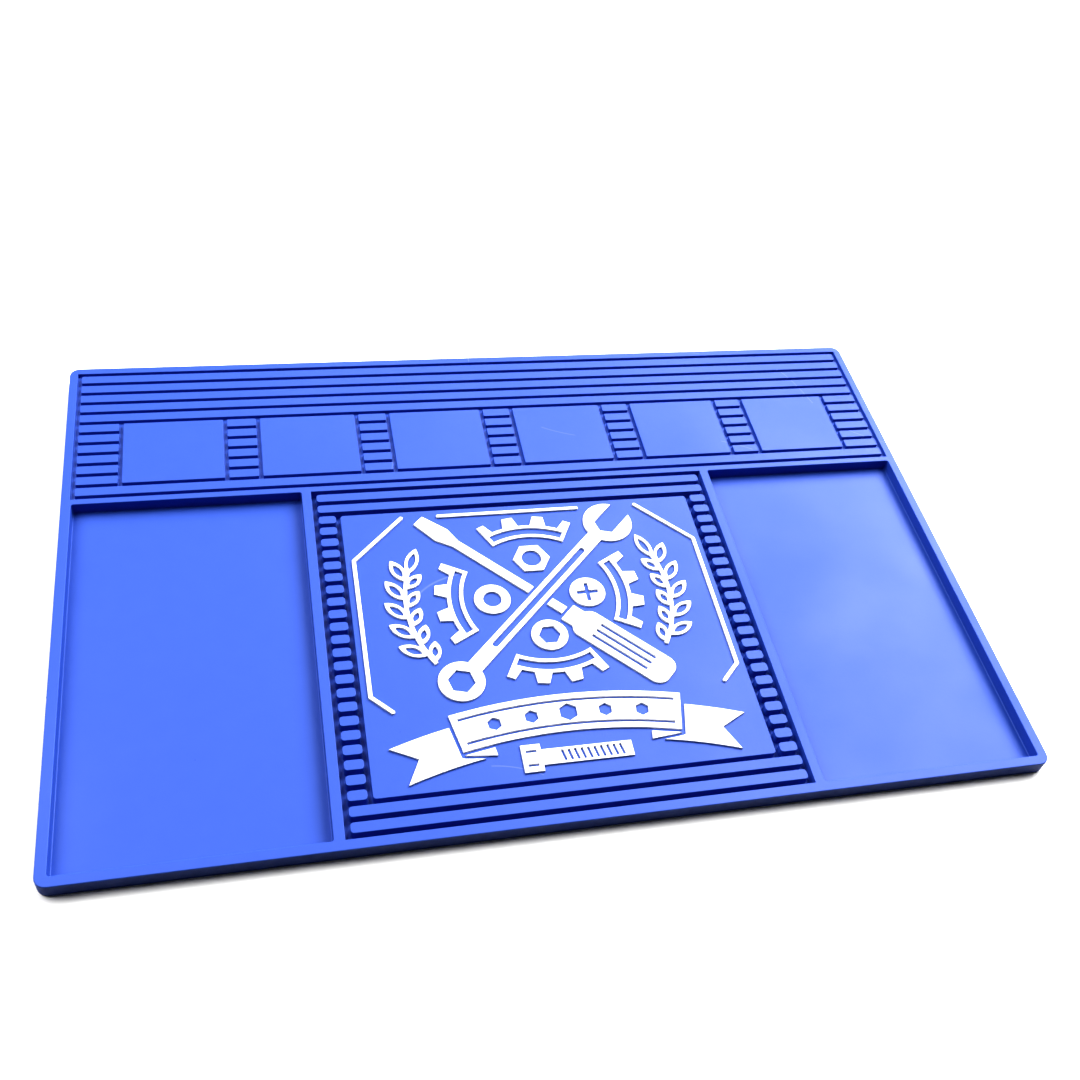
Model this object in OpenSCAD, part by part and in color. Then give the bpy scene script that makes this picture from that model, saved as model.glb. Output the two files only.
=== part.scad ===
// Flexible moulded tool mat with two parts trays, a ribbed back field with
// six magnetic pads, and a framed centre panel that carries a raised emblem.
// Origin: centre of the underside. +X to the right, +Y to the back, +Z up.

/* [Mat] */
// Width of the mat, left to right
mat_w = 450; // [440:1:520]
// Thickness of the mat at its rim
mat_t = 8; // [7:0.5:12]
// Radius of the four outer corners
corner_r = 5; // [2:0.5:6]
// Width of the rim at the left, right and front
rim = 4.8; // [3:0.1:8]
// Width of the rim behind the back field
back_rim = 4.2; // [3:0.1:8]
// Width of the wall between the back field and the trays
cross_wall = 3.5; // [3:0.1:8]
// Distance from one rib to the next
rib_pitch = 7.45; // [6:0.05:9]

/* [Trays] */
// Depth of both parts trays
tray_depth = 6.5; // [5:0.5:6.5]
// Radius of the tray corners
tray_r = 1; // [0.5:0.5:5]
// Width of the wall between a tray and the centre
divider = 4.8; // [3:0.1:8]

/* [Back field] */
// Width of the grooves in the back field
back_groove_w = 2; // [1:0.1:2.4]
// Depth of the grooves in the back field
back_groove_depth = 2.2; // [1:0.1:2.5]
// Full-width ribs behind the pads
ribs_behind_pads = 5; // [1:1:8]
// Rib rows that each pad spans
pad_rows = 6; // [6:1:8]
// Full-width ribs in front of the pads
ribs_before_pads = 1; // [1:1:4]
// Width of a pad
pad_w = 49.9; // [47:0.1:54]
// Distance from one pad's centre to the next
pad_pitch = 68.8; // [66:0.1:70]
// Radius at the corners of the back field's ribs and pads
back_cell_r = 0.6; // [0.2:0.1:0.7]

/* [Centre] */
// Width of the centre field between its two dividers
centre_w = 210.4; // [205:0.2:214]
// Width of the grooves in the centre field
centre_groove_w = 2.4; // [1.5:0.1:2.5]
// Depth of the grooves in the centre field
centre_groove_depth = 5; // [2:0.1:5]
// Full-width ribs behind and in front of the panel
centre_ribs = 2; // [1:1:4]
// Rows of short rungs beside the panel
rung_rows = 22; // [22:1:24]
// Width of a rung
rung_w = 8.6; // [6:0.1:10]
// Width of the groove between the rungs and the panel
panel_groove_w = 2.2; // [1.2:0.1:2.5]
// Corner radius of a rung
rung_r = 1.6; // [0.5:0.1:2]
// How far the panel lies below the rim
panel_drop = 0.5; // [0.1:0.1:1]

/* [Pad magnets] */
// Length of a magnet plate, left to right
magnet_w = 44; // [20:1:44]
// Depth of a magnet plate, front to back
magnet_d = 36; // [20:1:37]
// Thickness of a magnet plate
magnet_t = 3; // [1:0.5:3]
// Corner radius of a magnet plate
magnet_r = 2; // [1:0.5:4]
// Thickness of the cover that closes a magnet's pocket
cover_t = 3; // [1:0.5:3]
// How far the cover overlaps the magnet on each side
cover_lap = 1.5; // [1:0.5:2]

/* [Emblem] */
// Height of the relief above the panel
relief_rise = 1; // [0.5:0.1:2]
// Width of the drawn lines
line_w = 2; // [1.6:0.1:2.4]
// Gap between neighbouring pieces of the relief
relief_gap = 1.6; // [1:0.1:2]
// Outer radius of the gear ring, to the tips of its teeth
gear_tip_r = 52; // [50:0.5:53]
// Number of teeth on the whole gear ring
gear_teeth = 20; // [16:4:24]

/* [Hidden] */
$fn = 64;

blue = [0.36, 0.52, 1.0];
dark_blue = [0.16, 0.26, 0.62];
white = [0.97, 0.97, 0.97];
steel = [0.62, 0.63, 0.66];

// Front to back, the mat is the rim, the centre field, the cross wall, the back field and the rim
centre_rows = 2 * centre_ribs + rung_rows;
back_rows = ribs_behind_pads + pad_rows + ribs_before_pads;
centre_d = centre_rows * rib_pitch + centre_groove_w;
back_d = back_rows * rib_pitch + back_groove_w;
mat_d = rim + centre_d + cross_wall + back_d + back_rim;
centre_back_y = -mat_d / 2 + rim + centre_d;
back_field_y = mat_d / 2 - back_rim;
back_field_w = mat_w - 2 * back_rim;

// Trays
tray_in_x = centre_w / 2 + divider;
tray_w = mat_w / 2 - rim - tray_in_x;

// Back field
pad_count = 6;
pad_d = pad_rows * rib_pitch - back_groove_w;
pad_y = back_field_y - ribs_behind_pads * rib_pitch - back_groove_w - pad_d / 2;
gap_w = pad_pitch - pad_w - 2 * back_groove_w;
end_in_x = (pad_count - 1) / 2 * pad_pitch + pad_w / 2 + back_groove_w;
end_w = back_field_w / 2 - back_groove_w - end_in_x;

// Panel
panel_w = centre_w - 2 * (centre_groove_w + rung_w + panel_groove_w);
panel_d = rung_rows * rib_pitch - centre_groove_w;
panel_y = centre_back_y - centre_ribs * rib_pitch - centre_groove_w - panel_d / 2;
panel_z = mat_t - panel_drop;

// Emblem, drawn around the panel's centre
gear_y = 20;
gear_root_r = gear_tip_r - 6;
gear_in_r = gear_root_r - 8;
tool_l = 152;
tool_cut = 15 + relief_gap;
handle_l = 54;
handle_w = 17;
ferrule_l = 6;
shank_w = 5;
blade_w = 10;
spanner_w = 8;
part_r = 9;
part_out = 24;
laurel_r = 66;
laurel_top = 161;
laurel_end = 212;
frame_x = 88;
frame_y = 76;
frame_corner = 26;
ribbon_r = 260;
ribbon_h = 20;
ribbon_y = -38 - ribbon_r;
ribbon_end = 12.2;
tail_drop = 6;
tail_reach = 7;
tail_back = 3.4;
bolt_y = -70;

// ---- Plain shapes ----

// Rectangle with round corners, centred
module rounded(w, d, r) {
    square([w - 2 * r, d], center = true);
    square([w, d - 2 * r], center = true);
    for (x = [-1, 1], y = [-1, 1]) translate([x * (w / 2 - r), y * (d / 2 - r)]) circle(r);
}

// Wedge from angle a to angle b, for cutting rings
module wedge(r, a, b) {
    steps = 4;
    polygon([[0, 0], for (i = [0 : steps]) r * [cos(a + (b - a) * i / steps), sin(a + (b - a) * i / steps)]]);
}

// Ring from angle a to angle b
module ring_part(r_in, r_out, a, b) {
    intersection() {
        difference() {
            circle(r_out, $fn = 4 * $fn);
            circle(r_in, $fn = 4 * $fn);
        }
        wedge(r_out * 1.3, a, b);
    }
}

// Straight line with round ends
module line(p, q, w) {
    v = q - p;
    translate(p) rotate(atan2(v.y, v.x)) translate([0, -w / 2]) square([norm(v), w]);
    translate(p) circle(w / 2);
    translate(q) circle(w / 2);
}

// Line through several points
module path(points, w) {
    for (i = [1 : len(points) - 1]) line(points[i - 1], points[i], w);
}

// ---- Mat ----

// Y of the back edge of a row, counted from the back of its field
function row_y(field_y, groove_w, row) = field_y - row * rib_pitch - groove_w;

// One rib or rung, in the given row and centred on x
module rib(field_y, groove_w, row, x, w, r) {
    d = rib_pitch - groove_w;
    translate([x, row_y(field_y, groove_w, row) - d / 2]) rounded(w, d, r);
}

// Outline of the grooves in the back field
module back_grooves() {
    difference() {
        translate([0, back_field_y - back_d / 2]) square([back_field_w, back_d], center = true);
        for (row = [0 : ribs_behind_pads - 1]) back_rib(row, 0, back_field_w - 2 * back_groove_w);
        for (row = [ribs_behind_pads + pad_rows : back_rows - 1])
            back_rib(row, 0, back_field_w - 2 * back_groove_w);
        for (i = [0 : pad_count - 1]) pad_place(i) rounded(pad_w, pad_d, back_cell_r);
        for (row = [ribs_behind_pads : ribs_behind_pads + pad_rows - 1]) {
            for (i = [0 : pad_count - 2]) back_rib(row, (i - (pad_count - 2) / 2) * pad_pitch, gap_w);
            for (side = [-1, 1]) back_rib(row, side * (end_in_x + end_w / 2), end_w);
        }
    }
}

module back_rib(row, x, w) rib(back_field_y, back_groove_w, row, x, w, back_cell_r);

// Puts a shape at the centre of pad i
module pad_place(i) translate([(i - (pad_count - 1) / 2) * pad_pitch, pad_y]) children();

// Outline of the grooves in the centre field
module centre_grooves() {
    difference() {
        translate([0, centre_back_y - centre_d / 2]) square([centre_w, centre_d], center = true);
        for (row = [0 : centre_ribs - 1], front = [0, 1])
            centre_rib(row + front * (centre_ribs + rung_rows), 0, centre_w - 2 * centre_groove_w);
        for (row = [centre_ribs : centre_ribs + rung_rows - 1], side = [-1, 1])
            centre_rib(row, side * (centre_w / 2 - centre_groove_w - rung_w / 2), rung_w);
        translate([0, panel_y]) rounded(panel_w, panel_d, rung_r);
    }
}

module centre_rib(row, x, w) rib(centre_back_y, centre_groove_w, row, x, w, rung_r);

// Cuts a shape into the top of the mat
module sink(depth) translate([0, 0, mat_t - depth]) linear_extrude(depth + 1) children();

module mat_body() {
    color(blue) difference() {
        linear_extrude(mat_t) rounded(mat_w, mat_d, corner_r);
        for (side = [-1, 1])
            sink(tray_depth) translate([side * (tray_in_x + tray_w / 2), centre_back_y - centre_d / 2])
                rounded(tray_w, centre_d, tray_r);
        sink(back_groove_depth) back_grooves();
        sink(centre_groove_depth) centre_grooves();
        sink(panel_drop) translate([0, panel_y])
            square([panel_w + panel_groove_w, panel_d + panel_groove_w], center = true);
        for (i = [0 : pad_count - 1]) pad_place(i) {
            translate([0, 0, -1]) linear_extrude(cover_t + 1)
                rounded(magnet_w + 2 * cover_lap, magnet_d + 2 * cover_lap, magnet_r);
            linear_extrude(cover_t + magnet_t) rounded(magnet_w, magnet_d, magnet_r);
        }
    }
}

// Magnet plate sealed under pad i
module pad_magnet(i) {
    color(steel) pad_place(i) translate([0, 0, cover_t]) linear_extrude(magnet_t)
        rounded(magnet_w, magnet_d, magnet_r);
}

// Rubber cover that closes the pocket of magnet i, flush with the underside
module magnet_cover(i) {
    color(dark_blue) pad_place(i) linear_extrude(cover_t)
        rounded(magnet_w + 2 * cover_lap, magnet_d + 2 * cover_lap, magnet_r);
}

// ---- Emblem outlines, in the panel's plane ----

// Point at radius r and angle a
function polar(r, a) = r * [cos(a), sin(a)];

// Puts a shape at the gear's centre, turned by an angle
module at_gear(a = 0) translate([0, gear_y]) rotate(a) children();

// Bare gear ring with all its teeth
module gear_ring() {
    difference() {
        union() {
            circle(gear_root_r);
            for (i = [0 : gear_teeth - 1]) rotate((i + 0.5) * 360 / gear_teeth)
                translate([gear_root_r - 2, 0]) polygon([[0, -4.6], [8, -2.8], [8, 2.8], [0, 4.6]]);
        }
        circle(gear_in_r);
        difference() {
            circle(gear_root_r - line_w);
            circle(gear_in_r + line_w);
        }
    }
}

// One quarter of the gear ring, cut clear of the tools and closed at both ends
module gear_quarter(mid) {
    at_gear() intersection() {
        union() {
            gear_ring();
            for (side = [-1, 1]) rotate(mid + side * (45 - tool_cut))
                translate([gear_in_r, -(side + 1) / 2 * line_w]) square([gear_root_r - gear_in_r, line_w]);
        }
        wedge(gear_tip_r * 1.3, mid - 45 + tool_cut, mid + 45 - tool_cut);
    }
}

// Spanner from lower left to upper right: ring end, slotted shaft, open jaw
module spanner() {
    jaw_r = 13;
    jaw_w = 11;
    eye_r = 11;
    jaw_x = tool_l / 2 - jaw_r;
    eye_x = eye_r - tool_l / 2;
    at_gear(45) difference() {
        union() {
            translate([eye_x, -spanner_w / 2]) square([jaw_x - eye_x, spanner_w]);
            translate([jaw_x, 0]) circle(jaw_r);
            translate([eye_x, 0]) circle(eye_r);
        }
        translate([jaw_x - 1, 0]) polygon([[-jaw_w * 0.58, 0], [-jaw_w * 0.29, jaw_w / 2], [2 * jaw_r, jaw_w / 2],
                                           [2 * jaw_r, -jaw_w / 2], [-jaw_w * 0.29, -jaw_w / 2]]);
        translate([eye_x, 0]) circle(r = 6.5, $fn = 6);
        line([-38, 0], [38, 0], spanner_w - 2.5 * line_w);
    }
}

// Screwdriver from lower right to upper left, in three pieces: it passes under the spanner
module driver_handle() {
    x1 = tool_l / 2;
    at_gear(-45) difference() {
        union() {
            translate([x1 - handle_l / 2, 0]) rounded(handle_l, handle_w, 6);
            translate([x1 - handle_l - ferrule_l, -5.5]) square([ferrule_l + 1, 11]);
        }
        for (y = [-4, 0, 4]) line([x1 - handle_l + 12, y], [x1 - 12, y], line_w * 0.8);
    }
}

module driver_shank() {
    x0 = spanner_w / 2 + relief_gap;
    x1 = tool_l / 2 - handle_l - ferrule_l - relief_gap;
    at_gear(-45) translate([x0, -shank_w / 2]) square([x1 - x0, shank_w]);
}

module driver_tip() {
    x0 = spanner_w / 2 + relief_gap;
    x1 = tool_l / 2;
    side = [[x0, shank_w / 2], [x1 - 24, shank_w / 2], [x1 - 15, blade_w / 2], [x1, blade_w / 2 - 1.5]];
    at_gear(135) polygon([each side, for (i = [len(side) - 1 : -1 : 0]) [side[i].x, -side[i].y]]);
}

// Four loose parts, one in each quarter of the gear
module hex_nut() at_gear() translate([0, part_out]) difference() {
    circle(r = part_r * 1.06, $fn = 6);
    circle(part_r * 0.55);
}

module washer() at_gear() translate([-part_out, 0]) difference() {
    circle(part_r);
    circle(part_r * 0.5);
}

module cross_screw() at_gear() translate([part_out, 0]) difference() {
    circle(part_r);
    for (a = [0, 90]) rotate(a) square([part_r * 1.2, line_w], center = true);
}

module socket_screw() at_gear() translate([0, -part_out]) difference() {
    circle(part_r);
    circle(r = part_r * 0.6, $fn = 6);
}

// Lens between two equal arcs, with its left tip at the origin
module lens(l, w) {
    r = (l * l + w * w) / (4 * w);
    intersection() {
        translate([l / 2, r - w / 2]) circle(r);
        translate([l / 2, w / 2 - r]) circle(r);
    }
}

// Hollow leaf with its stalk at the origin, pointing along +X
module leaf(l, w) {
    vein_w = line_w * 0.8;
    difference() {
        lens(l, w);
        translate([2 * vein_w, 0]) lens(l - 4 * vein_w, w - 2 * vein_w);
    }
}

// Laurel branch on the left of the gear
module laurel_left() {
    at_gear() {
        ring_part(laurel_r - line_w / 2, laurel_r + line_w / 2, laurel_top, laurel_end);
        rotate(laurel_top + 2) translate([laurel_r, 0]) rotate(-94) leaf(17, 6.6);
        for (a = [laurel_top + 6 : 10 : laurel_end - 4]) {
            rotate(a) translate([laurel_r, 0]) rotate(-52) leaf(15, 6.6);
            rotate(a + 4) translate([laurel_r, 0]) rotate(-128) leaf(12, 6);
        }
    }
}

module laurel_right() mirror([1, 0]) laurel_left();

// Line frame with cut corners, broken by the tools and the ribbon
module frame_top() line([-43, frame_y], [30, frame_y], line_w);

module frame_left() {
    path([[frame_corner - frame_x, frame_y], [-frame_x, frame_y - frame_corner],
          [-frame_x, -30], [-frame_x + 9, -39]], line_w);
}

module frame_right() mirror([1, 0]) frame_left();

// Arched ribbon: a band, two folds and two forked tails
module ribbon_band() {
    inset = 3;
    inset_w = 1.3;
    a = ribbon_end;
    translate([0, ribbon_y]) difference() {
        ring_part(ribbon_r - ribbon_h, ribbon_r, 90 - a, 90 + a);
        for (r = [ribbon_r - inset - inset_w, ribbon_r - ribbon_h + inset])
            ring_part(r, r + inset_w, 90.7 - a, 89.3 + a);
        for (i = [-2 : 2]) rotate(i * 4) translate([0, ribbon_r - ribbon_h / 2])
            rotate(30) circle(r = i == 0 ? 4.6 : 3.4, $fn = 6);
    }
}

// Corners of the fold under the left end of the band
fold = [polar(ribbon_r - ribbon_h - relief_gap, 90 + ribbon_end),
        polar(ribbon_r - ribbon_h - relief_gap, 90 + ribbon_end - tail_back),
        polar(ribbon_r - ribbon_h - tail_drop, 90 + ribbon_end - tail_back)];

// The same triangle, made longer away from the band's corner, for cutting the tail
fold_cut = [for (p = fold) fold[0] + 1.3 * (p - fold[0])];

module ribbon_fold_left() translate([0, ribbon_y]) polygon(fold);

// Forked tail on the left, lower than the band and partly behind it
module ribbon_tail_left() {
    a = 90 + ribbon_end;
    r1 = ribbon_r - tail_drop;
    r0 = r1 - ribbon_h;
    translate([0, ribbon_y]) difference() {
        ring_part(r0, r1, a - tail_back, a + tail_reach);
        ring_part(ribbon_r - ribbon_h - 1.5 * relief_gap, ribbon_r, a - 2 * tail_back, a + 0.4);
        polygon([polar((r0 + r1) / 2, a + tail_reach - 2.4),
                 polar(r1 + 1, a + tail_reach + 0.1), polar(r0 - 1, a + tail_reach + 0.1)]);
        polygon(fold_cut);
        line(fold_cut[0], fold_cut[2], 2 * relief_gap);
    }
}

module ribbon_tail_right() mirror([1, 0]) ribbon_tail_left();
module ribbon_fold_right() mirror([1, 0]) ribbon_fold_left();

// Bolt lying under the ribbon, with a slotted thread
module bolt() {
    head_w = 9;
    head_h = 14;
    stem_w = 42;
    stem_h = 8;
    threads = 10;
    translate([-(head_w + stem_w) / 2, bolt_y]) difference() {
        union() {
            translate([0, -head_h / 2]) square([head_w, head_h]);
            translate([head_w, -stem_h / 2]) square([stem_w, stem_h]);
        }
        for (y = [-1, 1]) translate([2, y * head_h / 4 - 0.6]) square([head_w - 2 * 2, 1.2]);
        for (i = [0 : threads - 1]) translate([head_w + 10 + i * 3, 0]) rotate(12)
            square([1.3, stem_h - 2.4], center = true);
    }
}

// One white piece of relief, bonded to the panel
module relief() {
    color(white) translate([0, panel_y, panel_z]) linear_extrude(relief_rise) children();
}

mat_body();
pad_magnet(0);  // pad_magnet_1
pad_magnet(1);  // pad_magnet_2
pad_magnet(2);  // pad_magnet_3
pad_magnet(3);  // pad_magnet_4
pad_magnet(4);  // pad_magnet_5
pad_magnet(5);  // pad_magnet_6
magnet_cover(0);  // magnet_cover_1
magnet_cover(1);  // magnet_cover_2
magnet_cover(2);  // magnet_cover_3
magnet_cover(3);  // magnet_cover_4
magnet_cover(4);  // magnet_cover_5
magnet_cover(5);  // magnet_cover_6
relief() gear_quarter(90);  // emblem_gear_top
relief() gear_quarter(180);  // emblem_gear_left
relief() gear_quarter(0);  // emblem_gear_right
relief() gear_quarter(270);  // emblem_gear_bottom
relief() spanner();  // emblem_spanner
relief() driver_handle();  // emblem_driver_handle
relief() driver_shank();  // emblem_driver_shank
relief() driver_tip();  // emblem_driver_tip
relief() hex_nut();  // emblem_hex_nut
relief() washer();  // emblem_washer
relief() cross_screw();  // emblem_cross_screw
relief() socket_screw();  // emblem_socket_screw
relief() laurel_left();  // emblem_laurel_left
relief() laurel_right();  // emblem_laurel_right
relief() frame_top();  // emblem_frame_top
relief() frame_left();  // emblem_frame_left
relief() frame_right();  // emblem_frame_right
relief() bolt();  // emblem_bolt
relief() ribbon_band();  // emblem_ribbon_band
relief() ribbon_fold_left();  // emblem_ribbon_fold_left
relief() ribbon_fold_right();  // emblem_ribbon_fold_right
relief() ribbon_tail_left();  // emblem_ribbon_tail_left
relief() ribbon_tail_right();  // emblem_ribbon_tail_right
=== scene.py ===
"""Looks of a flexible moulded tool mat: rounded rubber meshes, a raised white emblem and studio light."""

import math

import bmesh
import bpy
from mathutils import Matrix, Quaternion, Vector
from mathutils.bvhtree import BVHTree
from mathutils.geometry import delaunay_2d_cdt


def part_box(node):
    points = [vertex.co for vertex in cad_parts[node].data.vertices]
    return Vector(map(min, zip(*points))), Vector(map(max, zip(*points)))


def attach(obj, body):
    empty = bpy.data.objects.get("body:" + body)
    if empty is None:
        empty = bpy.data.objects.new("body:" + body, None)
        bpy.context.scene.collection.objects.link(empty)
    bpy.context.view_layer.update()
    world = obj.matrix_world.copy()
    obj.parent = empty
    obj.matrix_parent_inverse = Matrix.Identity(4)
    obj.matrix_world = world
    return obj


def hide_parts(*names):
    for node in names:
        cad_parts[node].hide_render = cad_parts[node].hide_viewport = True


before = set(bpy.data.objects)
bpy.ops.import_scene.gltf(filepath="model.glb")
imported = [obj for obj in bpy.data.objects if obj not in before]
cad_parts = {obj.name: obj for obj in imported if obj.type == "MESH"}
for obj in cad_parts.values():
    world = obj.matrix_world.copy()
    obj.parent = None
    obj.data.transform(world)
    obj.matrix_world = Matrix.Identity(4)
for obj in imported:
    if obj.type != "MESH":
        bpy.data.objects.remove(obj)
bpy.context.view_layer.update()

MM = 0.001

# ---- Driving dimensions, in metres: the same as in part.scad ----

RIM = 4.8 * MM
BACK_RIM = 4.2 * MM
RIB_PITCH = 7.45 * MM
CORNER_R = 5 * MM
TRAY_DEPTH = 6.5 * MM
TRAY_R = 1 * MM
DIVIDER = 4.8 * MM
BACK_GROOVE_W = 2 * MM
BACK_GROOVE_DEPTH = 2.2 * MM
BACK_CELL_R = 0.6 * MM
RIBS_BEHIND_PADS = 5
PAD_ROWS = 6
RIBS_BEFORE_PADS = 1
PAD_W = 49.9 * MM
CENTRE_W = 210.4 * MM
CENTRE_GROOVE_W = 2.4 * MM
CENTRE_GROOVE_DEPTH = 5 * MM
CENTRE_RIBS = 2
RUNG_ROWS = 22
RUNG_W = 8.6 * MM
RUNG_R = 1.6 * MM
PANEL_GROOVE_W = 2.2 * MM
MAGNET_R = 2 * MM

# ---- Softening of the moulded edges ----

EDGE_R = 0.45 * MM
SMALL_EDGE_R = 0.3 * MM
FOOT_R = 0.5 * MM
BOTTOM_R = 0.7 * MM
WALL_DRAFT = 0.05 * MM
RELIEF_EDGE_R = 0.3 * MM
RELIEF_SINK = 0.1 * MM
COVER_GAP = 0.08 * MM
DISH_INSET = 3 * MM
DISH_DEPTH = 0.4 * MM

# ---- Fineness of the meshes ----

ARC_STEPS = 4
CORNER_STEPS = 5
QUARTER_TURN = [math.pi / 2 * i / ARC_STEPS for i in range(ARC_STEPS + 1)]
# A corner of an outline that turns by more than this keeps two normals.
SHARP = math.radians(25)
# A corner of an outline moves at most this many times as far as its sides.
MITRE_LIMIT = 1.4
# A raised shape's edge takes up at most this share of the shape's width.
ROOM_SHARE = 0.4
# A profile point whose normal points up or down by a share between these lies on a rounded edge.
STEEPEST, FLATTEST = 0.05, 0.95
# The corner radius that is left where a rectangle has shrunk past its own.
LEAST_R = 0.02 * MM
# Points of a CAD mesh closer than this are one point, and so are heights.
WELD = 0.005 * MM
# How far inside an outline the rays start that measure the room.
RAY_START = 0.05 * MM
SAME_POINT = 1e-9

# ---- Places from the frame ----

mat_low, mat_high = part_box("mat_body")
MAT_W = mat_high.x - mat_low.x
MAT_D = mat_high.y - mat_low.y
TOP = mat_high.z
PANEL_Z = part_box("emblem_spanner")[0].z
MAGNETS = sorted(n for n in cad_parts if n.startswith("pad_magnet"))
COVERS = sorted(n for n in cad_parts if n.startswith("magnet_cover"))
RELIEFS = sorted(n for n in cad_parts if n.startswith("emblem"))

BACK_ROWS = RIBS_BEHIND_PADS + PAD_ROWS + RIBS_BEFORE_PADS
CENTRE_ROWS = 2 * CENTRE_RIBS + RUNG_ROWS
BACK_FIELD_Y = mat_high.y - BACK_RIM
BACK_FIELD_W = MAT_W - 2 * BACK_RIM
BACK_FIELD_D = BACK_ROWS * RIB_PITCH + BACK_GROOVE_W
CENTRE_D = CENTRE_ROWS * RIB_PITCH + CENTRE_GROOVE_W
CENTRE_BACK_Y = mat_low.y + RIM + CENTRE_D
CENTRE_Y = CENTRE_BACK_Y - CENTRE_D / 2


def box_rect(node, corner_r):
    """A CAD node's box seen from above, as (centre x, centre y, width, depth, corner radius)."""
    low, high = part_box(node)
    return ((low.x + high.x) / 2, (low.y + high.y) / 2, high.x - low.x, high.y - low.y, corner_r)


# ---- Mesh building ----


class Outline:
    """A closed line seen from above, with the material on its left.

    sides is a tree of the shape's upright walls. It tells how far each point can move in, so that
    narrow tips aren't turned inside out.
    """

    def __init__(self, points, sides):
        self.points = points
        count = len(points)
        edge_normals = []
        for i in range(count):
            along = (points[(i + 1) % count] - points[i]).normalized()
            edge_normals.append(Vector((along.y, -along.x)))
        self.normals = []
        self.shifts = []
        for i in range(count):
            before, after = edge_normals[i - 1], edge_normals[i]
            middle = (before + after).normalized()
            self.normals.append((before, after) if before.angle(after, 0) > SHARP else (middle, middle))
            mitre = 1 / max(middle.dot(after), 1 / MITRE_LIMIT)
            start = points[i] - middle * RAY_START
            _, _, _, room = sides.ray_cast((*start, 0), (*-middle, 0))
            self.shifts.append(middle * min(mitre, ROOM_SHARE * (room or 0) / RELIEF_EDGE_R))

    def moved(self, out):
        """The line's points, moved out by a distance, or in where it is below 0."""
        return [p + s * out for p, s in zip(self.points, self.shifts)]


class Rect(Outline):
    """A rounded rectangle, as box_rect gives it: an island of material, or a hole in it."""

    def __init__(self, rect, hole=False):
        self.rect = rect
        self.hole = hole
        self.angles = [math.radians(90 * k + 90 * i / CORNER_STEPS)
                       for k in range(4) for i in range(CORNER_STEPS + 1)]
        if hole:
            self.angles.reverse()
        turn = -1 if hole else 1
        self.normals = [(turn * Vector((math.cos(a), math.sin(a))),) * 2 for a in self.angles]

    def moved(self, out):
        """The points in the order of the angles, which run backwards round a hole."""
        x, y, w, d, r = self.rect
        grow = -out if self.hole else out
        r = max(r + grow, LEAST_R)
        points = []
        for i, a in enumerate(self.angles):
            corner = i // (CORNER_STEPS + 1)
            corner = 3 - corner if self.hole else corner
            side_x = 1 if corner in (0, 3) else -1
            side_y = 1 if corner in (0, 1) else -1
            points.append(Vector((x + side_x * (w / 2 + grow - r) + r * math.cos(a),
                                  y + side_y * (d / 2 + grow - r) + r * math.sin(a))))
        return points


# A wall's profile is a list of (out, z, outward part of the normal, upward part), from its top down.


def plain_end(z):
    """Profile of the end of a wall that isn't rounded."""
    return [(0, z, 1, 0)]


def top_edge(top, r):
    """Profile of a rounded upper edge."""
    return [(r * (math.sin(t) - 1), top - r + r * math.cos(t), math.sin(t), math.cos(t))
            for t in QUARTER_TURN]


def foot(floor, r, out=0.0):
    """Profile of the hollow curve where a wall meets the floor below it."""
    return [(out + r * (1 - math.cos(t)), floor + r - r * math.sin(t), math.cos(t), math.sin(t))
            for t in QUARTER_TURN]


def bottom_edge(bottom, r):
    """Profile of a rounded lower edge."""
    return [(r * (math.cos(t) - 1), bottom + r - r * math.sin(t), math.cos(t), -math.sin(t))
            for t in QUARTER_TURN]


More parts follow.
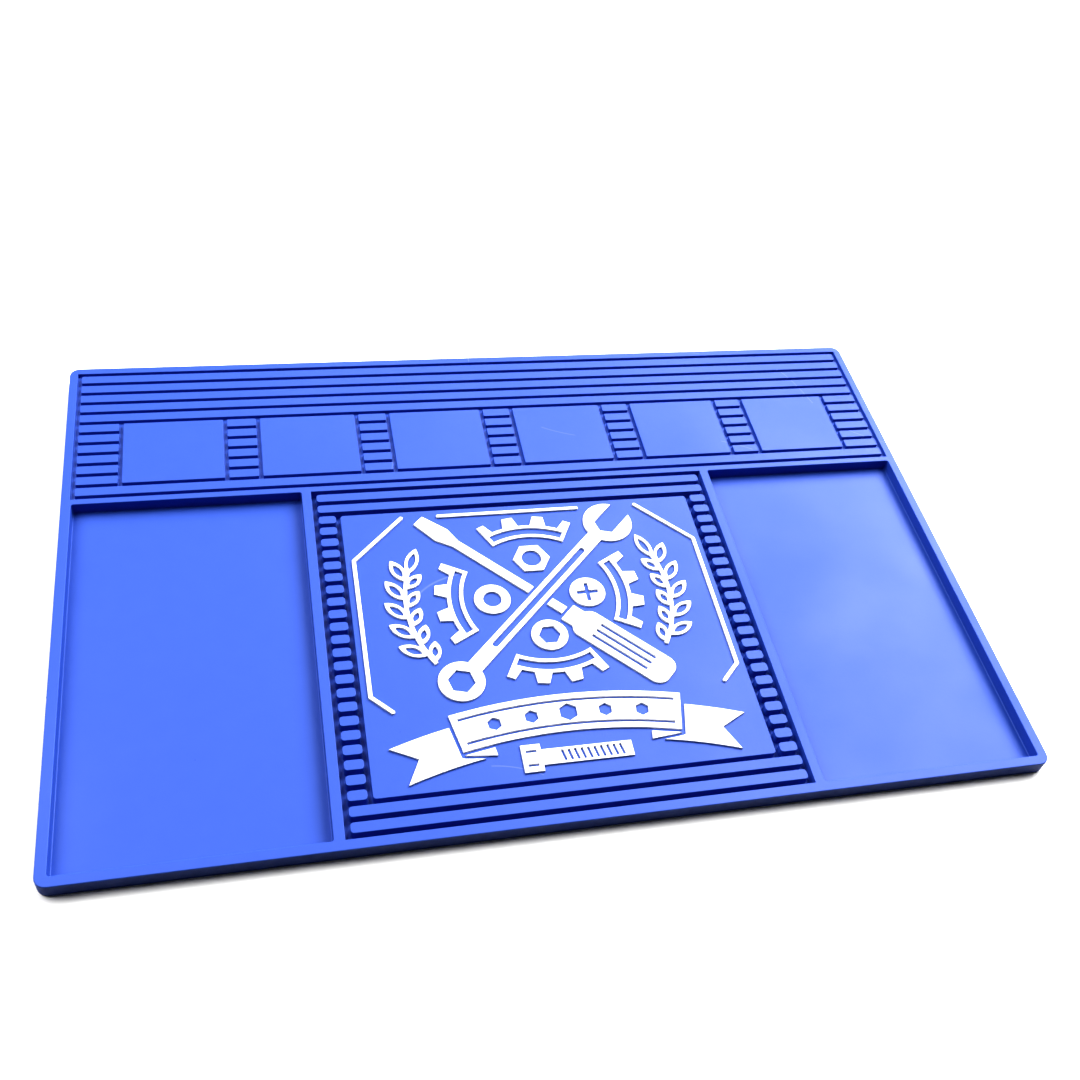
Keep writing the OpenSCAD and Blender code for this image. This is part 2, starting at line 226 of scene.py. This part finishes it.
class Shell:
    """Collects one closed mesh, with the exact normal of every face corner and a mask of its rounded edges,
    which the materials paint paler as wear and a painted highlight.
    """

    def __init__(self):
        self.verts = []
        self.highlight_and_wear = []
        self.faces = []
        self.normals = []

    def ring(self, points, z, highlight_and_wear):
        """Adds a ring of points at one height, and returns their numbers."""
        first = len(self.verts)
        self.verts += [(p.x, p.y, z) for p in points]
        self.highlight_and_wear += [highlight_and_wear] * len(points)
        return list(range(first, len(self.verts)))

    def wall(self, outline, profile):
        """Skins a wall down a profile, and returns its first and last rings."""
        rings = []
        for out, z, _, up in profile:
            # Rings on a rounded edge get 1 in the mask that the materials paint paler, as wear and a
            # painted highlight.
            is_edge = STEEPEST < abs(up) < FLATTEST
            rings.append(self.ring(outline.moved(out), z, 1.0 if is_edge else 0.0))
        count = len(rings[0])
        for k in range(len(rings) - 1):
            upper, lower = rings[k], rings[k + 1]
            for i in range(count):
                j = (i + 1) % count
                self.faces.append((upper[i], lower[i], lower[j], upper[j]))
                here, there = outline.normals[i][1], outline.normals[j][0]
                for normal, level in ((here, k), (here, k + 1), (there, k + 1), (there, k)):
                    _, _, side, up = profile[level]
                    self.normals.append(Vector((normal.x * side, normal.y * side, up)).normalized())
        return rings[0], rings[-1]

    def fill(self, outer, holes=(), up=True):
        """Closes a flat area between an outer ring and the rings inside it."""
        rings = [outer, *holes]
        index = [v for ring in rings for v in ring]
        flat = [Vector(self.verts[v][:2]) for v in index]
        edges = []
        start = 0
        for ring in rings:
            edges += [(start + i, start + (i + 1) % len(ring)) for i in range(len(ring))]
            start += len(ring)
        made, _, faces, origin, _, _ = delaunay_2d_cdt(flat, edges, [], 1, SAME_POINT)
        gaps = [Gap([Vector(self.verts[v][:2]) for v in ring]) for ring in holes]
        for face in faces:
            centre = sum((made[v] for v in face), Vector((0, 0))) / len(face)
            if any(gap.holds(centre) for gap in gaps):
                continue
            corners = [index[origin[v][0]] for v in face]
            self.faces.append(tuple(corners if up else reversed(corners)))
            self.normals += [Vector((0, 0, 1 if up else -1))] * len(corners)

    def to_object(self, name):
        """Makes the mesh, with its rounded edges as an attribute for the painted highlight and wear, and
        puts it in the scene.
        """
        mesh = bpy.data.meshes.new(name)
        mesh.from_pydata(self.verts, [], self.faces)
        mesh.shade_smooth()
        mesh.normals_split_custom_set(self.normals)
        layer = mesh.attributes.new("worn_and_highlit_edges", "FLOAT", "POINT")
        layer.data.foreach_set("value", self.highlight_and_wear)
        made = bpy.data.objects.new(name, mesh)
        bpy.context.scene.collection.objects.link(made)
        return made


class Gap:
    """A closed ring in a flat area, seen from above."""

    def __init__(self, ring):
        self.ring = ring
        self.left, self.right = min(p.x for p in ring), max(p.x for p in ring)
        self.front, self.back = min(p.y for p in ring), max(p.y for p in ring)

    def holds(self, point):
        """Whether a point lies inside the ring: first by the ring's box, then by counting crossings."""
        if not (self.left < point.x < self.right and self.front < point.y < self.back):
            return False
        inside = False
        for i, p in enumerate(self.ring):
            q = self.ring[i - 1]
            if (p.y > point.y) != (q.y > point.y):
                if point.x < (q.x - p.x) * (point.y - p.y) / (q.y - p.y) + p.x:
                    inside = not inside
        return inside


# ---- The mat ----


def row_rect(field_y, groove_w, row, x, w, r):
    """One rib or rung, in the given row of a field."""
    depth = RIB_PITCH - groove_w
    return (x, field_y - row * RIB_PITCH - groove_w - depth / 2, w, depth, r)


def back_islands():
    """Every rib and pad of the back field, and the short ribs between the pads."""
    pads = [box_rect(n, 0) for n in MAGNETS]
    pad_xs = sorted(p[0] for p in pads)
    pad_d = PAD_ROWS * RIB_PITCH - BACK_GROOVE_W
    first_pad_row = RIBS_BEHIND_PADS
    full_w = BACK_FIELD_W - 2 * BACK_GROOVE_W

    def back_row(row, x, w):
        return row_rect(BACK_FIELD_Y, BACK_GROOVE_W, row, x, w, BACK_CELL_R)

    rows = [r for r in range(BACK_ROWS) if not first_pad_row <= r < first_pad_row + PAD_ROWS]
    islands = [back_row(r, 0, full_w) for r in rows]
    pad_y = BACK_FIELD_Y - first_pad_row * RIB_PITCH - BACK_GROOVE_W - pad_d / 2
    islands += [(x, pad_y, PAD_W, pad_d, BACK_CELL_R) for x in pad_xs]
    stops = [-full_w / 2 - BACK_GROOVE_W]
    for x in pad_xs:
        stops += [x - PAD_W / 2, x + PAD_W / 2]
    stops.append(full_w / 2 + BACK_GROOVE_W)
    for left, right in zip(stops[0::2], stops[1::2]):
        low, high = left + BACK_GROOVE_W, right - BACK_GROOVE_W
        for r in range(first_pad_row, first_pad_row + PAD_ROWS):
            islands.append(back_row(r, (low + high) / 2, high - low))
    return islands


def centre_islands():
    """Every rib and rung of the centre field, without the panel."""
    rib_w = CENTRE_W - 2 * CENTRE_GROOVE_W
    rung_x = (rib_w - RUNG_W) / 2

    def centre_row(row, x, w):
        return row_rect(CENTRE_BACK_Y, CENTRE_GROOVE_W, row, x, w, RUNG_R)

    islands = []
    for r in range(CENTRE_ROWS):
        if CENTRE_RIBS <= r < CENTRE_RIBS + RUNG_ROWS:
            islands += [centre_row(r, x, RUNG_W) for x in (-rung_x, rung_x)]
        else:
            islands.append(centre_row(r, 0, rib_w))
    return islands


def panel_rect():
    """The panel between the rungs."""
    w = CENTRE_W - 2 * (CENTRE_GROOVE_W + RUNG_W + PANEL_GROOVE_W)
    d = RUNG_ROWS * RIB_PITCH - CENTRE_GROOVE_W
    y = CENTRE_BACK_Y - CENTRE_RIBS * RIB_PITCH - CENTRE_GROOVE_W - d / 2
    return (0, y, w, d, RUNG_R)


def add_field(shell, mouth, depth, islands):
    """Adds a sunk field and the islands in it, and returns its mouth's ring. An island is (rect, top)."""
    floor = TOP - depth
    profile = top_edge(TOP, SMALL_EDGE_R) + foot(floor, SMALL_EDGE_R)
    rim_ring, floor_ring = shell.wall(Rect(mouth, hole=True), profile)
    feet = []
    for rect, top in islands:
        head, base = shell.wall(Rect(rect), top_edge(top, SMALL_EDGE_R) + foot(floor, SMALL_EDGE_R))
        shell.fill(head)
        feet.append(base)
    shell.fill(floor_ring, feet)
    return rim_ring


def add_tray(shell, side):
    """Adds the tray left (-1) or right (1) of the centre field, and returns its mouth's ring."""
    inner = CENTRE_W / 2 + DIVIDER
    w = MAT_W / 2 - RIM - inner
    tray = Rect((side * (inner + w / 2), CENTRE_Y, w, CENTRE_D, TRAY_R), hole=True)
    mouth, floor = shell.wall(tray, top_edge(TOP, EDGE_R) + foot(TOP - TRAY_DEPTH, FOOT_R, WALL_DRAFT))
    shell.fill(floor)
    return mouth


def add_pocket(shell, cover, magnet):
    """Adds the stepped pocket of a cover and its magnet, and returns its mouth's ring."""
    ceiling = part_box(cover)[1].z
    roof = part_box(magnet)[1].z
    well = Rect(box_rect(cover, MAGNET_R), hole=True)
    step, mouth = shell.wall(well, plain_end(ceiling) + bottom_edge(0, SMALL_EDGE_R))
    nest = Rect(box_rect(magnet, MAGNET_R), hole=True)
    peak, lip = shell.wall(nest, plain_end(roof) + plain_end(ceiling))
    shell.fill(peak, up=False)
    shell.fill(step, [lip], up=False)
    return mouth


def make_mat():
    """The whole blue moulding, closed on every side."""
    shell = Shell()
    outside = Rect((0, 0, MAT_W, MAT_D, CORNER_R))
    top_ring, bottom_ring = shell.wall(outside, top_edge(TOP, EDGE_R) + bottom_edge(0, BOTTOM_R))

    mouths = [add_tray(shell, side) for side in (-1, 1)]
    back = (0, BACK_FIELD_Y - BACK_FIELD_D / 2, BACK_FIELD_W, BACK_FIELD_D, 0)
    mouths.append(add_field(shell, back, BACK_GROOVE_DEPTH, [(r, TOP) for r in back_islands()]))
    centre = (0, CENTRE_Y, CENTRE_W, CENTRE_D, 0)
    islands = [(r, TOP) for r in centre_islands()] + [(panel_rect(), PANEL_Z)]
    mouths.append(add_field(shell, centre, CENTRE_GROOVE_DEPTH, islands))
    shell.fill(top_ring, mouths)

    pockets = [add_pocket(shell, cover, magnet) for cover, magnet in zip(COVERS, MAGNETS)]
    shell.fill(bottom_ring, pockets, up=False)
    return shell.to_object("mat_moulding")


# ---- The magnets' covers ----


def make_cover(node):
    """A cover with a shallow dish in its underside."""
    low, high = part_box(node)
    x, y, w, d, r = box_rect(node, MAGNET_R)
    shell = Shell()
    plug = Rect((x, y, w - 2 * COVER_GAP, d - 2 * COVER_GAP, r))
    head, base = shell.wall(plug, plain_end(high.z) + bottom_edge(low.z, SMALL_EDGE_R))
    shell.fill(head)
    dish = Rect((x, y, w - 2 * DISH_INSET, d - 2 * DISH_INSET, r), hole=True)
    roof, rim = shell.wall(dish, plain_end(low.z + DISH_DEPTH) + bottom_edge(low.z, SMALL_EDGE_R))
    shell.fill(roof, up=False)
    shell.fill(base, [rim], up=False)
    return shell.to_object(node + "_moulding")


# ---- The white relief ----


def top_loops(node):
    """The closed lines round a CAD node's upper face, each with the material on its left."""
    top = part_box(node)[1].z
    bm = bmesh.new()
    bm.from_mesh(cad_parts[node].data)
    bmesh.ops.remove_doubles(bm, verts=bm.verts, dist=WELD)
    following = {}
    for face in bm.faces:
        if not is_top(face, top):
            continue
        for loop in face.loops:
            if not any(is_top(other, top) for other in loop.edge.link_faces if other is not face):
                following[loop.vert.index] = (loop.link_loop_next.vert.index, Vector(loop.vert.co.xy))
    bm.free()
    loops = []
    while following:
        start, (here, point) = following.popitem()
        points = [point]
        while here != start:
            here, point = following.pop(here)
            points.append(point)
        loops.append(thinned(points))
    return sorted(loops, key=loop_area, reverse=True)


def is_top(face, top):
    """Whether a face lies at the given height."""
    return all(abs(v.co.z - top) < WELD for v in face.verts)


def loop_area(points):
    """The area inside a closed line, below 0 for a line round a hole."""
    return sum(points[i - 1].x * p.y - p.x * points[i - 1].y for i, p in enumerate(points)) / 2


def thinned(points):
    """A closed line without the points that crowd a sharp corner."""
    def turn(i):
        return (points[i] - points[i - 1]).angle(points[(i + 1) % len(points)] - points[i], 0)

    corners = [p for i, p in enumerate(points) if turn(i) > SHARP]
    return [p for p in points if all(p is c or (p - c).length > RELIEF_EDGE_R for c in corners)
            or any(p is c for c in corners)]


def make_relief(node):
    """A raised shape with a rounded upper edge, which thins out where the shape comes to a point."""
    low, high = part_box(node)
    loops = top_loops(node)
    # Upright walls through z = 0, where an outline's rays run.
    corners = []
    walls = []
    for points in loops:
        first = len(corners)
        corners += [(*p, z) for p in points for z in (-1, 1)]
        count = len(points)
        for i in range(count):
            a, b = first + 2 * i, first + 2 * ((i + 1) % count)
            walls.append((a, b, b + 1, a + 1))
    sides = BVHTree.FromPolygons(corners, walls)
    shell = Shell()
    heads = []
    bases = []
    profile = top_edge(high.z, RELIEF_EDGE_R) + plain_end(low.z - RELIEF_SINK)
    for points in loops:
        head, base = shell.wall(Outline(points, sides), profile)
        heads.append(head)
        bases.append(base)
    shell.fill(heads[0], heads[1:])
    shell.fill(bases[0], bases[1:], up=False)
    return shell.to_object(node + "_relief")


# ---- Materials ----


class Paint:
    """A material with helpers that add and link its nodes."""

    def __init__(self, name):
        self.material = bpy.data.materials.new(name)
        self.material.use_nodes = True
        self.tree = self.material.node_tree
        self.shader = self.tree.nodes["Principled BSDF"]
        self.place = self.node("ShaderNodeTexCoord").outputs["Object"]

    def node(self, kind, **settings):
        """Adds a node and sets its settings."""
        made = self.tree.nodes.new(kind)
        for key, value in settings.items():
            setattr(made, key, value)
        return made

    def link(self, source, target):
        self.tree.links.new(source, target)

    def noise(self, size, detail, place=None):
        """Noise from 0 to 1 whose blobs are about size metres across."""
        made = self.node("ShaderNodeTexNoise")
        made.inputs["Scale"].default_value = 1 / size
        made.inputs["Detail"].default_value = detail
        self.link(self.place if place is None else place, made.inputs["Vector"])
        return made.outputs["Fac"]

    def ramp(self, value, low, high, to_low=0.0, to_high=1.0):
        """Maps low..high of a value to to_low..to_high, and holds it there."""
        made = self.node("ShaderNodeMapRange")
        self.link(value, made.inputs["Value"])
        ends = {"From Min": low, "From Max": high, "To Min": to_low, "To Max": to_high}
        for socket, number in ends.items():
            made.inputs[socket].default_value = number
        return made.outputs["Result"]

    def math(self, operation, a, b=0.0):
        """Reckons with one or two sockets or numbers."""
        made = self.node("ShaderNodeMath", operation=operation)
        for socket, value in zip(made.inputs, (a, b)):
            if isinstance(value, (int, float)):
                socket.default_value = value
            else:
                self.link(value, socket)
        return made.outputs["Value"]

    def mix(self, amount, a, b):
        """Mixes two colours; a is a socket or a colour, and so is b."""
        made = self.node("ShaderNodeMix", data_type="RGBA")
        self.link(amount, made.inputs["Factor"])
        for socket, value in ((made.inputs["A"], a), (made.inputs["B"], b)):
            if isinstance(value, tuple):
                socket.default_value = (*value, 1)
            else:
                self.link(value, socket)
        return made.outputs["Result"]

    def attribute(self, name):
        """A number that the mesh carries on its points."""
        return self.node("ShaderNodeAttribute", attribute_name=name).outputs["Fac"]

    def specks(self, spacing, radius, share):
        """Sparse round specks: 1 inside a speck. share is the part of the cells that hold one."""
        cells = self.node("ShaderNodeTexVoronoi")
        cells.inputs["Scale"].default_value = 1 / spacing
        self.link(self.place, cells.inputs["Vector"])
        near = self.ramp(cells.outputs["Distance"], radius / spacing, 0.4 * radius / spacing)
        pick = self.node("ShaderNodeSeparateColor")
        self.link(cells.outputs["Color"], pick.inputs["Color"])
        chosen = self.math("LESS_THAN", pick.outputs["Red"], share)
        return self.math("MULTIPLY", near, chosen)

    def hairlines(self, length, width, patches):
        """Sparse fine scratches: 1 on a scratch. They lie where a coarse noise is below patches."""
        wander = self.noise(length, 0)
        off = self.math("ABSOLUTE", self.math("SUBTRACT", wander, 0.5))
        on_line = self.ramp(off, width / length, 0)
        patchy = self.noise(length / 3, 0)
        return self.math("MULTIPLY", on_line, self.math("LESS_THAN", patchy, patches))

    def bump(self, height, distance, strength, onto=None):
        """Bends the normal by a height from 0 to 1 that stands for a distance."""
        made = self.node("ShaderNodeBump")
        made.inputs["Strength"].default_value = strength
        made.inputs["Distance"].default_value = distance
        self.link(height, made.inputs["Height"])
        if onto is not None:
            self.link(onto, made.inputs["Normal"])
        return made.outputs["Normal"]


def rubber(name, colour, highlit_worn, speck, roughness, grain):
    """Moulded soft rubber: fine grain, cloudy sheen, paler edges from wear and a painted highlight, fine
    scratches and a few specks.

    The three colour arguments are those of the flat areas, of the rounded edges (paler as wear and a
    painted highlight) and of the specks.
    """
    paint = Paint(name)
    darker = tuple(c * 0.93 for c in colour)
    paler = tuple(min(1, c * 1.06 + 0.004) for c in colour)
    scratched = tuple(0.6 + 0.4 * c for c in colour)

    cloudy = paint.ramp(paint.noise(90 * MM, 3), 0.3, 0.7)
    flow = paint.ramp(paint.noise(9 * MM, 4), 0.3, 0.7)
    fine = paint.noise(0.35 * MM, 2)
    pits = paint.noise(1.4 * MM, 3)
    # Rounded edges are painted paler, patchy with the flow marks: wear and a painted highlight.
    highlight_and_wear = paint.math("MULTIPLY", paint.attribute("worn_and_highlit_edges"), paint.ramp(flow, 0, 1, 0.15, 0.4))
    specks = paint.math("MULTIPLY", paint.specks(spacing=11 * MM, radius=0.32 * MM, share=0.16), 0.6)
    hairlines = paint.hairlines(length=140 * MM, width=0.25 * MM, patches=0.35)

    base = paint.mix(paint.math("MULTIPLY", cloudy, 0.35), colour, darker)
    base = paint.mix(paint.math("MULTIPLY", flow, 0.25), base, paler)
    base = paint.mix(highlight_and_wear, base, highlit_worn)
    base = paint.mix(specks, base, speck)
    base = paint.mix(paint.math("MULTIPLY", hairlines, 0.1), base, scratched)
    paint.link(base, paint.shader.inputs["Base Color"])

    uneven = paint.math("ADD", paint.math("MULTIPLY", cloudy, 0.6), paint.math("MULTIPLY", pits, 0.4))
    dull = paint.ramp(uneven, 0.2, 0.8, roughness - 0.05, roughness + 0.07)
    dull = paint.math("ADD", dull, paint.math("MULTIPLY", specks, 0.3))
    paint.link(dull, paint.shader.inputs["Roughness"])

    normal = paint.bump(fine, 0.05 * MM, grain)
    normal = paint.bump(pits, 0.08 * MM, grain * 0.6, normal)
    paint.link(normal, paint.shader.inputs["Normal"])
    paint.shader.inputs["Specular IOR Level"].default_value = 0.32
    return paint.material


def plated_steel():
    """Nickel plate on a sintered magnet, with fine brushing."""
    paint = Paint("nickel_plate")
    streaks = paint.node("ShaderNodeMapping")
    streaks.inputs["Scale"].default_value = (1, 30, 30)
    paint.link(paint.place, streaks.inputs["Vector"])
    streaks_per_metre = 150
    lines = paint.noise(1 / streaks_per_metre, 4, streaks.outputs["Vector"])
    paint.link(paint.mix(lines, (0.55, 0.55, 0.56), (0.70, 0.69, 0.67)), paint.shader.inputs["Base Color"])
    paint.link(paint.ramp(lines, 0.3, 0.7, 0.25, 0.42), paint.shader.inputs["Roughness"])
    paint.link(paint.bump(lines, 0.02 * MM, 0.2), paint.shader.inputs["Normal"])
    paint.shader.inputs["Metallic"].default_value = 1.0
    return paint.material


def studio_floor():
    """Matt white paper."""
    paint = Paint("studio_paper")
    tone = paint.ramp(paint.noise(300 * MM, 2), 0.3, 0.7)
    paint.link(paint.mix(tone, (0.93, 0.93, 0.93), (0.95, 0.95, 0.95)), paint.shader.inputs["Base Color"])
    paint.shader.inputs["Roughness"].default_value = 0.9
    return paint.material


def studio_screen():
    """Evenly lit white screen."""
    paint = Paint("studio_screen")
    tone = paint.ramp(paint.noise(2, 1), 0.3, 0.7)
    paint.link(paint.mix(tone, (0.99, 0.99, 0.99), (1, 1, 1)), paint.shader.inputs["Emission Color"])
    paint.shader.inputs["Emission Strength"].default_value = 1.0
    return paint.material


# ---- Putting it together ----


def finish_piece(piece, nodes, material):
    """A finished piece rides on the mat, stands for its CAD nodes, and wears its material."""
    piece.data.materials.append(material)
    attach(piece, "root")
    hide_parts(*nodes)


# Each material's second colour is the paler colour of its rounded edges: wear and a painted highlight.
BLUE = (0.029, 0.08, 0.39)
HIGHLIT_WORN_BLUE = (0.05, 0.12, 0.5)
BLUE_SPECK = (0.008, 0.03, 0.16)
COVER_BLUE = (0.012, 0.04, 0.26)
HIGHLIT_WORN_COVER_BLUE = (0.03, 0.08, 0.4)
WHITE = (0.76, 0.76, 0.75)
HIGHLIT_WORN_WHITE = (1.0, 1.0, 1.0)
WHITE_SPECK = (0.7, 0.72, 0.75)

blue_rubber = rubber("blue_rubber", BLUE, HIGHLIT_WORN_BLUE, BLUE_SPECK, roughness=0.5, grain=0.35)
white_rubber = rubber("white_rubber", WHITE, HIGHLIT_WORN_WHITE, WHITE_SPECK, roughness=0.4, grain=0.25)
cover_rubber = rubber("cover_rubber", COVER_BLUE, HIGHLIT_WORN_COVER_BLUE, BLUE_SPECK, roughness=0.55, grain=0.5)
nickel = plated_steel()

finish_piece(make_mat(), ["mat_body"], blue_rubber)
for node in COVERS:
    finish_piece(make_cover(node), [node], cover_rubber)
for node in RELIEFS:
    finish_piece(make_relief(node), [node], white_rubber)
for node in MAGNETS:
    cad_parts[node].data.materials.clear()
    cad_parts[node].data.materials.append(nickel)


# ---- Studio ----

FLOOR_GAP = 0.2 * MM
FLOOR_RADIUS = 1
DOME_RADIUS = 8
LIGHT_DISTANCE = 2


def finished_mesh(name, bm, material):
    """Puts a built mesh in the scene, with its material."""
    mesh = bpy.data.meshes.new(name)
    bm.to_mesh(mesh)
    bm.free()
    mesh.materials.append(material)
    made = bpy.data.objects.new(name, mesh)
    bpy.context.scene.collection.objects.link(made)
    return made


def make_floor():
    """A round paper floor. Diffuse rays don't see it, because light from it fills the grooves and walls."""
    bm = bmesh.new()
    bmesh.ops.create_circle(bm, cap_ends=True, segments=96, radius=FLOOR_RADIUS)
    floor = finished_mesh("floor", bm, studio_floor())
    floor.location.z = mat_low.z - FLOOR_GAP
    floor.visible_diffuse = False


def make_backdrop():
    """A white dome that only the camera sees, so that the background is pale from every side."""
    bm = bmesh.new()
    bmesh.ops.create_icosphere(bm, subdivisions=4, radius=DOME_RADIUS)
    dome = finished_mesh("backdrop", bm, studio_screen())
    dome.visible_diffuse = False
    dome.visible_glossy = False
    dome.visible_shadow = False


def make_light(name, bearing, size, power):
    """A soft box aimed at the mat's middle. bearing is its turn right of +Y and its height, in degrees."""
    turn, rise = (math.radians(a) for a in bearing)
    away = Vector((math.sin(turn) * math.cos(rise), math.cos(turn) * math.cos(rise), math.sin(rise)))
    data = bpy.data.lights.new(name, "AREA")
    data.shape = "RECTANGLE"
    data.size, data.size_y = size
    data.energy = power
    light = bpy.data.objects.new(name, data)
    light.location = away * LIGHT_DISTANCE
    light.rotation_mode = "QUATERNION"
    light.rotation_quaternion = (-away).to_track_quat("-Z", "Y")
    bpy.context.scene.collection.objects.link(light)


def make_camera():
    """The photograph's view: from the front left, about 48 degrees up, rolled a little."""
    azimuth, elevation, roll = math.radians(-21.27), math.radians(48.1), math.radians(12.34)
    distance = 0.6324
    aim = Vector((0.0246, 0.0071, TOP))
    back = Vector((math.sin(azimuth) * math.cos(elevation), -math.cos(azimuth) * math.cos(elevation),
                   math.sin(elevation)))
    data = bpy.data.cameras.new("camera")
    data.sensor_width = 36
    data.lens = 40.97
    data.shift_x = -0.0318
    data.clip_start = 0.01
    camera = bpy.data.objects.new("camera", data)
    camera.location = aim + back * distance
    camera.rotation_mode = "QUATERNION"
    camera.rotation_quaternion = (-back).to_track_quat("-Z", "Y") @ Quaternion((0, 0, 1), roll)
    bpy.context.scene.collection.objects.link(camera)
    bpy.context.scene.camera = camera


def make_world():
    """A very weak white sky."""
    world = bpy.data.worlds.new("studio")
    world.use_nodes = True
    sky = world.node_tree.nodes["Background"]
    sky.inputs["Color"].default_value = (1, 1, 1, 1)
    sky.inputs["Strength"].default_value = 0.03
    bpy.context.scene.world = world


make_floor()
make_backdrop()
make_light("soft_box_right", bearing=(60, 45), size=(1.4, 1.4), power=66)
make_light("soft_box_left", bearing=(-62, 50), size=(1.4, 1.4), power=39)
make_light("soft_box_back", bearing=(22, 38), size=(1.6, 0.9), power=18)
make_camera()
make_world()
bpy.context.scene.view_settings.view_transform = "Standard"
bpy.context.scene.view_settings.look = "High Contrast"
